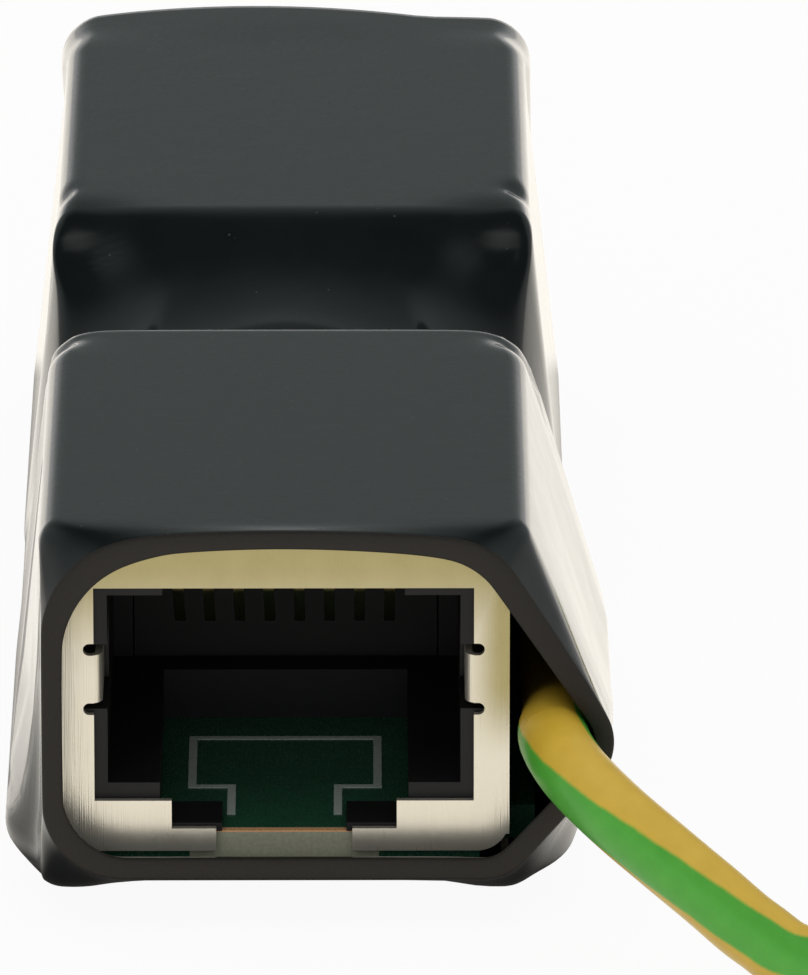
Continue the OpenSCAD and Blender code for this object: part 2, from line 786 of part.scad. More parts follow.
// Ring terminal: rolled barrel crimped on the core, and a flat tongue with its hole
end_dir = [0, -1, 0];
barrel_gap = 0.3;
barrel_y0 = lead_end[1] - barrel_gap;
ring_y = barrel_y0 - barrel_l - ring_d / 2 - 0.6;
module earth_core_terminal_end() {
    core(lead_end, end_dir, barrel_l);
}

module ring_terminal() {
    tongue_z = -barrel_d / 2;
    color([0.8, 0.8, 0.82])
    in_frame()
    translate([lead_end[0], 0, lead_end[2]])
    difference() {
        union() {
            translate([0, barrel_y0, 0])
            rotate([90, 0, 0])
            cylinder(h = barrel_l, d = barrel_d, $fn = arc_n);
            translate([0, ring_y, tongue_z])
            cylinder(h = ring_t, d = ring_d, $fn = 64);
            translate([-barrel_d * 0.45, ring_y, tongue_z])
            cube([barrel_d * 0.9, barrel_y0 - barrel_l + 0.5 - ring_y, ring_t]);
        }
        translate([0, barrel_y0 + 1, 0])
        rotate([90, 0, 0])
        cylinder(h = barrel_l + 3, d = core_d, $fn = arc_n);
        translate([0, ring_y, tongue_z - 1])
        cylinder(h = ring_t + 2, d = ring_hole, $fn = 64);
    }
}

// Shrunk cover over the barrel and the end of the insulation
module terminal_cover() {
    cover_l = barrel_l + barrel_gap + cover_over - 0.5;
    color([0.1, 0.1, 0.1])
    in_frame()
    translate([lead_end[0], lead_end[1] + cover_over, lead_end[2]])
    rotate([90, 0, 0])
    difference() {
        cylinder(h = cover_l, d = barrel_d + 2 * cover_t, $fn = arc_n);
        translate([0, 0, -1])
        cylinder(h = cover_l + 2, d = barrel_d + 2 * eps, $fn = arc_n);
    }
}

shrink_sleeve();
circuit_board();
board_outline_print();
for (s = sides) {
    at_end(s) shield();
    at_end(s) housing();
    at_end(s) contact_block();
    at_end(s) socket_solder();
    for (i = [1:contact_n])
    at_end(s) contact(i - 1);
}
tube_solder_joints();
gas_tube(gap_mid - tube_pitch / 2);  // front_gas_tube
gas_tube(gap_mid + tube_pitch / 2);  // rear_gas_tube
diode_array(-1, -1);  // left_front_diode_array
diode_array(-1, 1);  // left_rear_diode_array
diode_array(1, -1);  // right_front_diode_array
diode_array(1, 1);  // right_rear_diode_array
earth_wire();
earth_core_board_end();
earth_solder();
earth_core_terminal_end();
ring_terminal();
terminal_cover();
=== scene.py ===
"""Looks of the network surge protector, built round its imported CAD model."""

from math import cos, pi, radians, sin

import bpy
import numpy as np
from mathutils import Matrix, Vector


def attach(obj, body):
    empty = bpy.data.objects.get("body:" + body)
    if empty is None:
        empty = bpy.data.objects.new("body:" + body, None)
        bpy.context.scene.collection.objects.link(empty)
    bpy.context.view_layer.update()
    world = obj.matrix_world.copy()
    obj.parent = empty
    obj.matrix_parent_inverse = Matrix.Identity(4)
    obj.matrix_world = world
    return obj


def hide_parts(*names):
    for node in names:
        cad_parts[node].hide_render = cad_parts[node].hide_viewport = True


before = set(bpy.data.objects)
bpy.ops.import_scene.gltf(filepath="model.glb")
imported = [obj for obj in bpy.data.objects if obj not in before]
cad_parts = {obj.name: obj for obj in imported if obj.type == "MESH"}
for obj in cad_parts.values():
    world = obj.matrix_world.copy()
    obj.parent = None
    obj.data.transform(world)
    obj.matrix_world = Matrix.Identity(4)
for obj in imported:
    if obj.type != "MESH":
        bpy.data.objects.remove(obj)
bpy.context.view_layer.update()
MM = 0.001
BODY = "root"

# The sockets' frame: middle of the front face, on top of the board. Its sizes are in mm.
SOCKETS_AT = np.array([-0.852689, -28.3, 3.0])
SOCKET_W, SOCKET_H, SOCKET_D = 15.2, 10.6, 19.2
SHIELD_T = 0.25
GAP = 14.8
REAR_BACK = SOCKET_D + GAP
REAR_FACE = 2 * SOCKET_D + GAP
GAP_MID = REAR_FACE / 2
BOARD_W, BOARD_T, BOARD_INSET = 17.0, 1.2, 0.35
LEAD_D = 2.4


def placed(points):
    """Points of the sockets' frame in mm, as points of the part's frame in metres."""
    return (np.asarray(points, float) + SOCKETS_AT) * MM


def unit(v):
    return v / np.linalg.norm(v, axis=-1, keepdims=True)


def ease(t):
    """0 below 0, 1 above 1, and smooth between them."""
    u = np.clip(t, 0, 1)
    return u * u * (3 - 2 * u)


def mixed(a, b, t):
    return np.asarray(a, float) + (np.asarray(b, float) - np.asarray(a, float)) * t


# Camera
PITCH, YAW = radians(19.0), radians(0.2)
CAMERA_DISTANCE = 0.490
SENSOR_MM, LENS_MM = 36, 535.6
AIM = Vector((3.2045, -24.503, 14.068)) * MM


def make_camera():
    """A long lens that looks down at the front socket."""
    ahead = Vector((sin(YAW) * cos(PITCH), cos(YAW) * cos(PITCH), -sin(PITCH)))
    right = Vector((cos(YAW), -sin(YAW), 0))
    up = right.cross(ahead)
    data = bpy.data.cameras.new("camera")
    data.sensor_width = SENSOR_MM
    data.lens = LENS_MM
    data.clip_start, data.clip_end = 0.01, 10
    camera = bpy.data.objects.new("camera", data)
    turn = Matrix((right, up, -ahead)).transposed().to_4x4()
    camera.matrix_world = Matrix.Translation(AIM - ahead * CAMERA_DISTANCE) @ turn
    bpy.context.scene.collection.objects.link(camera)
    bpy.context.scene.camera = camera


make_camera()


# Shader maths, with the places of a Mix node's colours among its sockets
MIX_FIRST, MIX_SECOND, MIX_RESULT = 6, 7, 2


class Value:
    """What a node gives, with Python's own signs for the Math nodes."""

    def __init__(self, nodes, socket):
        self.nodes, self.socket = nodes, socket

    def math(self, operation, *others):
        return self.nodes.node("ShaderNodeMath", {"operation": operation}, self, *others)

    def __add__(self, other):
        return self.math("ADD", other)

    __radd__ = __add__

    def __sub__(self, other):
        return self.math("SUBTRACT", other)

    def __rsub__(self, other):
        return self.nodes.node("ShaderNodeMath", {"operation": "SUBTRACT"}, other, self)

    def __mul__(self, other):
        return self.math("MULTIPLY", other)

    __rmul__ = __mul__

    def __truediv__(self, other):
        return self.math("DIVIDE", other)

    def __gt__(self, other):
        return self.math("GREATER_THAN", other)

    def __lt__(self, other):
        return self.math("LESS_THAN", other)


class Nodes:
    """The node tree of a material or of the world."""

    def __init__(self, owner, output):
        owner.use_nodes = True
        self.tree = owner.node_tree
        self.tree.nodes.clear()
        self.output = self.tree.nodes.new(output)

    def plug(self, target, value):
        if isinstance(value, Value):
            self.tree.links.new(value.socket, target)
        else:
            target.default_value = (*value, 1) if target.type == "RGBA" else value

    def node(self, kind, settings, *values, out=0, numbered=(), **named):
        """A node with its settings. Values go to its sockets in turn, by number or by name."""
        made = self.tree.nodes.new(kind)
        for name, value in settings.items():
            setattr(made, name, value)
        for i, value in (*enumerate(values), *numbered):
            self.plug(made.inputs[i], value)
        for name, value in named.items():
            self.plug(made.inputs[name.replace("_", " ")], value)
        return Value(self, made.outputs[out])

    def fade(self, value, low, high):
        """0 below low, 1 above high, and smooth between them."""
        return self.node("ShaderNodeMapRange", {"interpolation_type": "SMOOTHSTEP"},
                         value, low, high, 0.0, 1.0)

    def mix(self, mask, first, second):
        """The first colour where the mask is 0, and the second where it is 1."""
        colours = ((MIX_FIRST, first), (MIX_SECOND, second))
        return self.node("ShaderNodeMix", {"data_type": "RGBA"}, mask,
                         out=MIX_RESULT, numbered=colours)

    def ray(self, kind):
        """1 where a ray is of this kind, such as Is Camera Ray."""
        return self.node("ShaderNodeLightPath", {}, out=kind)


class Paint(Nodes):
    """A material with one principled shader."""

    def __init__(self, name, **constants):
        self.material = bpy.data.materials.new(name)
        super().__init__(self.material, "ShaderNodeOutputMaterial")
        self.shader = self.tree.nodes.new("ShaderNodeBsdfPrincipled")
        self.tree.links.new(self.shader.outputs[0], self.output.inputs[0])
        for socket, value in constants.items():
            self.set(socket.replace("_", " "), value)

    def set(self, socket, value):
        self.plug(self.shader.inputs[socket], value)

    def place(self):
        """The point's place in the part's frame, in metres."""
        return self.node("ShaderNodeTexCoord", {}, out="Object")

    def axis(self, k):
        return self.node("ShaderNodeSeparateXYZ", {}, self.place(), out=k)

    def from_sockets(self, k):
        """The point's place along an axis of the sockets' frame, in mm."""
        return self.axis(k) / MM - SOCKETS_AT[k]

    def stretched(self, size_mm):
        """Places scaled so that a pattern's cell has this size, or these along x, y and z."""
        sizes = size_mm if isinstance(size_mm, tuple) else (size_mm,) * 3
        scale = [1 / (s * MM) for s in sizes]
        return self.node("ShaderNodeVectorMath", {"operation": "MULTIPLY"}, self.place(), scale)

    def noise(self, size_mm, detail=3, roughness=0.55):
        return self.node("ShaderNodeTexNoise", {}, Vector=self.stretched(size_mm), Scale=1.0,
                         Detail=detail, Roughness=roughness)

    def cells(self, size_mm):
        """Distance to the middle of the nearest cell."""
        return self.node("ShaderNodeTexVoronoi", {}, Vector=self.stretched(size_mm), Scale=1.0)

    def bump(self, height, distance_mm, strength=1.0, under=None):
        named = {"Height": height, "Distance": distance_mm * MM, "Strength": strength}
        if under is not None:
            named["Normal"] = under
        made = self.node("ShaderNodeBump", {}, **named)
        self.set("Normal", made)
        return made


# A crease's painted shade on the sleeve's left side, a line where the coat is dulled, in mm: where
# it stands, how far it turns forward and below what height, its dark half-width, where it has
# faded, and how far below the top it ends
FOLD_SHADE_Y, FOLD_SHADE_FORWARD, FOLD_SHADE_TURN = 9.5, 4.0, 2.2
FOLD_SHADE_DARK, FOLD_SHADE_FADED, FOLD_SHADE_BELOW = 0.25, 0.8, 0.5
DUST_MM, DUST_SHARE = 0.9, 0.35


def black_sleeve():
    """Nearly black shrunk plastic: its shine is a soft coat, with specks of dust, and a dulled line
    on the left side that paints a crease's shade.
    """
    paint = Paint("shrunk_polyolefin", Specular_IOR_Level=0.12, Coat_Roughness=0.12)
    grain = paint.noise(0.09, detail=2)
    mottle = paint.noise(1.6, detail=4)
    dust = paint.cells(DUST_MM) < 0.05
    paint.set("Roughness", 0.34 + 0.10 * mottle + 0.05 * grain)
    side, along, height = (paint.from_sockets(k) for k in range(3))
    low = 1 - paint.fade(height, 0, FOLD_SHADE_TURN)
    off = (along - FOLD_SHADE_Y + FOLD_SHADE_FORWARD * low * low).math("ABSOLUTE")
    on_left = (side < -SOCKET_W / 2) * (height < SOCKET_H - FOLD_SHADE_BELOW)
    painted_fold_shade = (1 - paint.fade(off, FOLD_SHADE_DARK, FOLD_SHADE_FADED)) * on_left
    # The coat is dulled along the line: painted shade of a crease that the mesh does not have
    paint.set("Coat Weight", (0.75 + 0.2 * mottle) * (1 - 0.8 * painted_fold_shade))
    base = paint.mix(mottle, (0.0025, 0.0040, 0.0040), (0.0050, 0.0076, 0.0074))
    paint.set("Base Color", paint.mix(dust * DUST_SHARE, base, (0.12, 0.12, 0.11)))
    coarse = paint.bump(paint.noise(0.45, detail=3), 0.02, 0.5)
    paint.bump(grain, 0.008, 0.7, coarse)
    return paint.material


def cut_polyolefin():
    """The sleeve's cut edge: dull and a little brown."""
    paint = Paint("cut_polyolefin", Specular_IOR_Level=0.3)
    grain = paint.noise(0.12, detail=3)
    paint.set("Base Color", paint.mix(grain, (0.013, 0.011, 0.009), (0.027, 0.023, 0.019)))
    paint.set("Roughness", 0.5 + 0.15 * grain)
    paint.bump(grain, 0.02, 0.5)
    return paint.material


# Where the tin gets a painted reflection, darker and yellower, in mm: upward near the top, and at
# the right, where it paints the yellow lead's reflection, from the middle of the height up
PAINTED_REFLECTION_TOP, LEAD_REFLECTION_RIGHT, LEAD_REFLECTION_HEIGHT = (5.5, 9.8), (6.0, 7.4), (2.5, 5.5)


def tinned_sheet():
    """Tin on sheet: rolled in fine upright lines, with painted reflections near the top and of the
    lead at the right.
    """
    paint = Paint("tinned_sheet", Metallic=0.78)
    lines = paint.noise((0.05, 0.5, 2.2), detail=4, roughness=0.6)
    cloud = paint.noise(1.4, detail=3)
    paint.set("Roughness", 0.20 + 0.12 * lines + 0.08 * cloud)
    plain = paint.mix(cloud, (0.82, 0.77, 0.65), (0.92, 0.87, 0.75))
    # Darker, yellower tin: the colour of the painted reflections
    reflection_colour = paint.mix(cloud, (0.41, 0.355, 0.165), (0.52, 0.455, 0.23))
    height = paint.from_sockets(2)
    # Painted reflection of the yellow lead, at the right from the middle of the height up
    right = paint.fade(paint.from_sockets(0), *LEAD_REFLECTION_RIGHT) * paint.fade(height, *LEAD_REFLECTION_HEIGHT)
    painted_reflection = paint.fade(height, *PAINTED_REFLECTION_TOP).math("MAXIMUM", right)
    paint.set("Base Color", paint.mix(painted_reflection, plain, reflection_colour))
    fine = paint.bump(paint.noise((0.03, 0.4, 3.0), detail=1), 0.012, 0.7)
    paint.bump(lines, 0.006, 0.5, fine)
    return paint.material


def moulded_black():
    paint = Paint("moulded_black", Specular_IOR_Level=0.3)
    grain = paint.noise(0.06, detail=2)
    cloud = paint.noise(1.8, detail=3)
    paint.set("Roughness", 0.42 + 0.16 * cloud)
    paint.set("Base Color", paint.mix(cloud, (0.007, 0.007, 0.0075), (0.013, 0.013, 0.014)))
    paint.bump(grain, 0.004, 0.6)
    return paint.material


# The board's ends that show woven glass and copper, in mm: half their width, how far in they reach,
# and the copper's depth. The other edges keep the mask's dark green as painted shade.
GLASS_HALF, GLASS_IN, COPPER_DEEP = 3.2, 0.3, 0.05


def solder_mask():
    """Green solder mask, and in the middle of each end woven glass under copper. The other edges,
    the shoulders too, keep the dark green as painted shade.
    """
    paint = Paint("solder_mask", IOR=1.52)
    weave = paint.noise((0.12, 0.5, 0.12), detail=2)
    normal = paint.node("ShaderNodeNewGeometry", {}, out="Normal")
    facing_up = paint.node("ShaderNodeSeparateXYZ", {}, normal, out=2).math("ABSOLUTE")
    reach = (paint.from_sockets(1) - GAP_MID).math("ABSOLUTE")
    across = paint.from_sockets(0).math("ABSOLUTE")
    end = (reach > GAP_MID - BOARD_INSET - GLASS_IN) * (across < GLASS_HALF)
    # Side faces outside the ends' middle keep the mask's green: painted shade
    side = (facing_up < 0.5) * end
    copper = end * (paint.from_sockets(2) > -COPPER_DEEP)
    glass = paint.mix(weave, (0.24, 0.25, 0.17), (0.42, 0.43, 0.33))
    mask = paint.mix(paint.noise(0.8), (0.014, 0.060, 0.034), (0.020, 0.095, 0.052))
    paint.set("Base Color", paint.mix(copper, paint.mix(side, mask, glass), (0.90, 0.50, 0.25)))
    paint.set("Metallic", 0.3 * copper)
    paint.set("Roughness", 0.22 + 0.4 * side + 0.1 * weave)
    paint.bump(weave, 0.012, 0.5)
    return paint.material


def white_print():
    paint = Paint("white_print")
    speck = paint.noise(0.07, detail=2)
    paint.set("Base Color", paint.mix(speck, (0.26, 0.31, 0.28), (0.46, 0.52, 0.49)))
    paint.set("Roughness", 0.5 + 0.2 * speck)
    return paint.material


def shaded_gold_wire():
    paint = Paint("shaded_gold_wire", Metallic=1.0)
    draw = paint.noise((0.05, 0.9, 0.9), detail=3)
    # Gold darkened well below its own colour: painted shade for the contacts deep inside the
    # housing
    paint.set("Base Color", paint.mix(draw, (0.34, 0.26, 0.12), (0.48, 0.38, 0.18)))
    paint.set("Roughness", 0.22 + 0.18 * draw)
    return paint.material


def solder():
    paint = Paint("solder", Metallic=1.0)
    frost = paint.noise(0.18, detail=3)
    paint.set("Base Color", paint.mix(frost, (0.52, 0.53, 0.55), (0.72, 0.73, 0.75)))
    paint.set("Roughness", 0.18 + 0.22 * frost)
    paint.bump(frost, 0.01, 0.4)
    return paint.material


# Tinned parts of a gas tube, in mm from its middle: where the caps start, and the ring's half
CAP_FROM, RING_HALF = 2.6, 0.7


def ceramic_tube():
    """Pale ceramic between tinned caps, and a tinned ring in the middle."""
    paint = Paint("ceramic_tube")
    out = paint.from_sockets(0).math("ABSOLUTE")
    cap = ((out > CAP_FROM) + (out < RING_HALF)).math("MINIMUM", 1.0)
    speck = paint.noise(0.25)
    paint.set("Metallic", cap)
    body = paint.mix(speck, (0.62, 0.58, 0.52), (0.74, 0.71, 0.66))
    tin = paint.mix(speck, (0.55, 0.55, 0.56), (0.70, 0.70, 0.71))
    paint.set("Base Color", paint.mix(cap, body, tin))
    paint.set("Roughness", 0.45 - 0.15 * cap + 0.1 * speck)
    return paint.material


FOOT_H = 0.21


def moulded_resin():
    """Black moulded body on tinned feet."""
    paint = Paint("moulded_resin")
    foot = paint.from_sockets(2) < FOOT_H
    grain = paint.noise(0.08)
    paint.set("Metallic", foot)
    paint.set("Base Color", paint.mix(foot, (0.02, 0.02, 0.022), (0.6, 0.6, 0.61)))
    paint.set("Roughness", 0.5 + 0.15 * grain - 0.2 * foot)
    paint.bump(grain, 0.006, 0.5)
    return paint.material


# Two green stripes that wind slowly: middles, half-width, edge and waver in turns, lay in
# turns per mm
STRIPES, STRIPE_HALF, STRIPE_EDGE, STRIPE_WAVER = (0.945, 1.46), 0.105, 0.012, 0.02
STRIPE_LAY = 0.0096


def striped_insulation():
    """Yellow with two green stripes. The lead's own map has its turn in x, its way in y."""
    paint = Paint("striped_insulation", IOR=1.5, Coat_Roughness=0.2)
    turn = paint.node("ShaderNodeUVMap", {"uv_map": "lead"})
    around = paint.node("ShaderNodeSeparateXYZ", {}, turn, out=0)
    way = paint.node("ShaderNodeSeparateXYZ", {}, turn, out=1)
    at = around - STRIPE_LAY * way + STRIPE_WAVER * (paint.noise(1.2) - 0.5)
    first, second = ((at - middle).math("PINGPONG", 0.5) for middle in STRIPES)
    away = first.math("MINIMUM", second)
    green = 1 - paint.fade(away, STRIPE_HALF - STRIPE_EDGE, STRIPE_HALF + STRIPE_EDGE)
    cloud = paint.noise(0.9, detail=3)
    yellow = paint.mix(cloud, (0.66, 0.42, 0.035), (0.80, 0.53, 0.06))
    leaf = paint.mix(cloud, (0.06, 0.36, 0.03), (0.11, 0.50, 0.05))
    paint.set("Base Color", paint.mix(green, yellow, leaf))
    paint.set("Roughness", 0.34 + 0.12 * cloud)
    paint.set("Coat Weight", 0.15 + 0.1 * cloud)
    paint.bump(paint.noise(0.16, detail=3), 0.01, 0.5)
    return paint.material


def copper_strand():
    paint = Paint("copper_strand", Metallic=1.0)
    cloud = paint.noise(0.35, detail=3)
    paint.set("Base Color", paint.mix(cloud, (0.55, 0.25, 0.13), (0.76, 0.42, 0.27)))
    paint.set("Roughness", 0.24 + 0.2 * cloud)
    return paint.material


def tinned_copper():
    paint = Paint("tinned_copper", Metallic=1.0)
    lines = paint.noise((0.5, 0.06, 0.5), detail=4)
    cloud = paint.noise(0.9, detail=3)
    paint.set("Base Color", paint.mix(cloud, (0.56, 0.56, 0.56), (0.74, 0.73, 0.72)))
    paint.set("Roughness", 0.22 + 0.14 * lines + 0.12 * cloud)
    paint.bump(lines, 0.006, 0.4)
    return paint.material


def dress(node, material):
    """A CAD node keeps its mesh and gets a material."""
    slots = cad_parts[node].data.materials
    slots.clear()
    slots.append(material)


def mesh_piece(name, points, faces, material, sharp_from, uv=None):
    """A smooth piece that rides on the body. Edges are sharp from this angle on, in degrees."""
    mesh = bpy.data.meshes.new(name)
    mesh.from_pydata([tuple(p) for p in points], [], [tuple(f) for f in faces])
    if uv is not None:
        layer = mesh.uv_layers.new(name="lead")
        layer.data.foreach_set("uv", np.asarray(uv, np.float32).ravel())
    mesh.validate()
    mesh.update()
    mesh.shade_smooth()
    mesh.set_sharp_from_angle(angle=radians(sharp_from))
    mesh.materials.append(material)
    piece = bpy.data.objects.new(name, mesh)
    bpy.context.scene.collection.objects.link(piece)
    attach(piece, BODY)
    return piece


# Earth lead
BARREL_D, BARREL_L, BARREL_GAP = 3.0, 5.0, 0.3
COVER_WALL, COVER_OVER = 0.25, 4.0
LEAD_GAP = 0.05
# Heights of the lead's centre line where the lead lies on the floor, and where its cover does
LEAD_FLOOR = LEAD_D / 2 - SOCKETS_AT[2] + LEAD_GAP
END_FLOOR = BARREL_D / 2 + COVER_WALL - SOCKETS_AT[2]
LEAD_INSIDE = [
    (8.6, 23.6, 1.3), (8.9, 22, 1.35), (9.15, 20, 1.35), (9.3, 17, 1.4), (9.3, 14, 1.4),
    (9.3, 10, 1.6), (9.3, 6, 2.3), (9.25, 3, 3.1), (9.15, 1, 3.6)]
LEAD_OUTSIDE = [
    (9.1, -1.2, 3.8), (9.7, -3.3, 3.45), (11, -5.2, 2.7), (12.6, -6.5, 1.7),
    (14.2, -7.4, 0.6), (15.8, -8, -0.6), (17.6, -8.2, LEAD_FLOOR + 0.2),
    (21.5, -7.1, LEAD_FLOOR), (24.4, -4.2, LEAD_FLOOR), (25.5, -0.2, LEAD_FLOOR),
    (25.5, 10, LEAD_FLOOR), (25.5, 20, LEAD_FLOOR), (25.5, 31, LEAD_FLOOR),
    (25.5, 41.2, LEAD_FLOOR), (26.5, 44.8, LEAD_FLOOR), (29.1, 47.4, LEAD_FLOOR),
    (32.7, 48.4, LEAD_FLOOR), (36.3, 47.4, LEAD_FLOOR), (38.9, 44.8, LEAD_FLOOR),
    (39.9, 41.2, LEAD_FLOOR), (39.9, 31, LEAD_FLOOR), (39.9, 22, END_FLOOR),
    (39.9, 16, END_FLOOR), (39.9, 12, END_FLOOR)]
LEAD_END = np.array(LEAD_OUTSIDE[-1])


def curve_through(points, steps):
    """A smooth line through all the points, with this many steps between two of them."""
    p = np.array(points, float)
    p = np.vstack([p[:1], p, p[-1:]])
    line = []
    for i in range(len(p) - 3):
        a, b, c, d = p[i:i + 4]
        for t in np.arange(steps) / steps:
            line.append(((d - a + 3 * (b - c)) * t**3 + (2 * a - 5 * b + 4 * c - d) * t * t
                         + (c - a) * t) / 2 + b)
    return np.array(line + [p[-1]])


def circle_turns(n):
    return 2 * pi * np.arange(n) / n


def sides_of(line):
    """Directions beside and above a line, for rings square to it."""
    along = unit(np.gradient(line, axis=0))
    side = unit(np.cross(along, [0, 0, 1]))
    return side, np.cross(side, along)


def bands(rows, n, first=0, closed=False):
    """Faces between rings of n points. A closed set joins its last ring to its first."""
    faces = []
    for i in range(rows if closed else rows - 1):
        a, b = first + i * n, first + (i + 1) % rows * n
        faces += [(a + k, b + k, b + (k + 1) % n, a + (k + 1) % n) for k in range(n)]
    return faces


def tube(line, radius, n, way_0=0.0):
    """Points, faces and map of a tube. The map's x is the turn, and its y the way along."""
    side, up = sides_of(line)
    turn = circle_turns(n)
    r = np.broadcast_to(radius, len(line))[:, None, None]
    rings = line[:, None] + r * (np.cos(turn)[None, :, None] * side[:, None]
                                 + np.sin(turn)[None, :, None] * up[:, None])
    m = len(line)
    way = way_0 + np.concatenate([[0], np.cumsum(np.linalg.norm(np.diff(line, axis=0), axis=1))])
    faces, uv = [], []
    for i in range(m - 1):
        for k in range(n):
            k1 = (k + 1) % n
            faces.append((i * n + k, i * n + k1, (i + 1) * n + k1, (i + 1) * n + k))
            for place, at in ((i, k), (i, k + 1), (i + 1, k + 1), (i + 1, k)):
                uv.append((at / n, way[place]))
    for end, order in ((0, range(n - 1, -1, -1)), (m - 1, range(n))):
        faces.append([end * n + k for k in order])
        uv += [(k / n, way[end]) for k in order]
    return rings.reshape(-1, 3), faces, uv


STEPS, LEAD_N = 8, 40
insulation = striped_insulation()
lead_line = curve_through(LEAD_INSIDE + LEAD_OUTSIDE, STEPS)
exit_at = STEPS * len(LEAD_INSIDE)
lead_inside, lead_outside = lead_line[:exit_at + 1], lead_line[exit_at:]
inside_length = float(np.linalg.norm(np.diff(lead_inside, axis=0), axis=1).sum())


def lead_piece(name, line, way_0):
    points, faces, uv = tube(line, LEAD_D / 2, LEAD_N, way_0)
    piece = mesh_piece(name, placed(points), faces, insulation, 50, uv)
    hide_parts("earth_wire")
    return piece


lead_piece("earth_lead_in_sleeve", lead_inside, -inside_length)
lead_free = lead_piece("earth_lead", lead_outside, 0.0)

# Ring terminal, its cover and the bare cores
RING_HOLE, RING_D, RING_T, RING_EDGE = 4.3, 8.0, 0.8, 0.12
# Points round a ring of each piece
CORE_N, TONGUE_N, BARREL_N, COVER_N = 10, 72, 40, 48
NECK_L, NECK_FROM_HOLE = 0.6, 0.55
CORE_D, CORE_ON_BOARD, BORE_SHOWN = 1.4, 3.0, 1.2
BARREL_FROM = LEAD_END[1] - BARREL_GAP
BARREL_TO = BARREL_FROM - BARREL_L
RING_Y = BARREL_TO - RING_D / 2 - NECK_L
# Crimps in mm from the barrel's end, with their depth as a share of its radius, and half-width
CRIMPS, CRIMP_DEEP, CRIMP_HALF = (1.5, 3.4), 0.30, 0.55
# The neck: its way from round to flat, how flat it starts, how much wider it gets, and its half
FLAT_WAY, FLAT_START, FLAT_WIDER, FLAT_HALF = 1.6, 0.15, 1.6, 1.45
STRAND_N, STRAND_TWIST = 7, 0.35


def strands(name, start, direction, length, node):
    """Seven twisted strands in the space of one bare core."""
    points, faces = [], []
    way = np.linspace(0, length, 12)
    start, direction = np.array(start, float), unit(np.array(direction, float))
    side = unit(np.cross(direction, [0, 0, 1]))
    up = np.cross(side, direction)
    for s in range(STRAND_N):
        turn = 2 * pi * s / (STRAND_N - 1) + way * STRAND_TWIST
        out = 0 if s == STRAND_N - 1 else CORE_D / 3
        line = (start + way[:, None] * direction
                + out * (np.cos(turn)[:, None] * side + np.sin(turn)[:, None] * up))
        p, f, _ = tube(line, CORE_D / 6, CORE_N)
        faces += [[len(points) + k for k in face] for face in f]
        points += list(p)
    piece = mesh_piece(name, placed(points), faces, copper, 50)
    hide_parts(node)
    return piece


copper = copper_strand()
core_dir = unit(lead_inside[0] - lead_inside[1])
strands("earth_strands_on_board", lead_inside[0], (core_dir[0], core_dir[1], 0),
        CORE_ON_BOARD, "earth_core_board_end")
end_strands = strands("earth_strands_in_terminal", LEAD_END, (0, -1, 0), BARREL_L,
                      "earth_core_terminal_end")


def ring_tongue():
    """Points and faces of the punched tongue round its hole, with broken edges."""
    hole_r, out_r, edge = RING_HOLE / 2, RING_D / 2, RING_EDGE
    low = LEAD_END[2] - BARREL_D / 2
    profile = [(hole_r + edge, 0), (hole_r, edge), (hole_r, RING_T - edge), (hole_r + edge, RING_T),
               (out_r - edge, RING_T), (out_r, RING_T - edge), (out_r, edge), (out_r - edge, 0)]
    turns = circle_turns(TONGUE_N)
    points = [(LEAD_END[0] + r * cos(t), RING_Y + r * sin(t), low + z)
              for r, z in profile for t in turns]
    return points, bands(len(profile), len(turns), closed=True)


def barrel_ring(y, turns):
    """A ring of the rolled barrel, dented from above, that flattens toward the tongue."""
    r = BARREL_D / 2
    flat = ease((BARREL_TO - y) / FLAT_WAY + FLAT_START)
    dent = CRIMP_DEEP * sum(np.exp(-((y - BARREL_TO - d) / CRIMP_HALF) ** 2) for d in CRIMPS)
    ring = []
    for t in turns:
        x, z = r * cos(t), r * sin(t) - dent * max(0, sin(t)) ** 3 * r
        wide = mixed(x, np.clip(x * FLAT_WIDER, -FLAT_HALF, FLAT_HALF), flat)
        high = mixed(z, (RING_T if z > 0 else 0) - r, flat)
        ring.append((LEAD_END[0] + wide, y, LEAD_END[2] + high))
    return ring


def ring_barrel(first):
    """Points and faces from inside the barrel's bore, round its open end, to the closed neck."""
    turns = circle_turns(BARREL_N)
    neck_end = RING_Y + RING_HOLE / 2 + NECK_FROM_HOLE
    places = [*np.linspace(BARREL_FROM, BARREL_TO, 26), *np.linspace(BARREL_TO, neck_end, 12)[1:]]
    points = [(LEAD_END[0] + CORE_D / 2 * cos(t), y, LEAD_END[2] + CORE_D / 2 * sin(t))
              for y in (BARREL_FROM - BORE_SHOWN, BARREL_FROM) for t in turns]
    for y in places:
        points += barrel_ring(y, turns)
    faces = bands(len(places) + 2, BARREL_N, first)
    faces.append([first + len(points) - BARREL_N + k for k in range(BARREL_N)])
    return points, faces


def ring_terminal():
    """Punched tongue with its hole, and a neck that rises into the rolled and crimped barrel."""
    tongue, tongue_faces = ring_tongue()
    barrel, barrel_faces = ring_barrel(len(tongue))
    piece = mesh_piece("ring_terminal_formed", placed(tongue + barrel),
                       tongue_faces + barrel_faces, tinned_copper(), 40)
    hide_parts("ring_terminal")
    return piece


# The cover: how far short of the barrel's end it stops, its rise onto the barrel, its clearance,
# its rounded edge, where its even rings start, and the step that it leaves at its ends
COVER_SHORT, COVER_RISE, COVER_GAP = 0.5, 1.4, 0.04
COVER_EDGE, COVER_EVEN, COVER_STEP = 0.08, 0.25, 0.05
# Its two waists over the crimps: where they are, how deep and how wide
WAISTS, WAIST_DEEP, WAIST_HALF = (1.9, 3.8), 0.10, 0.5


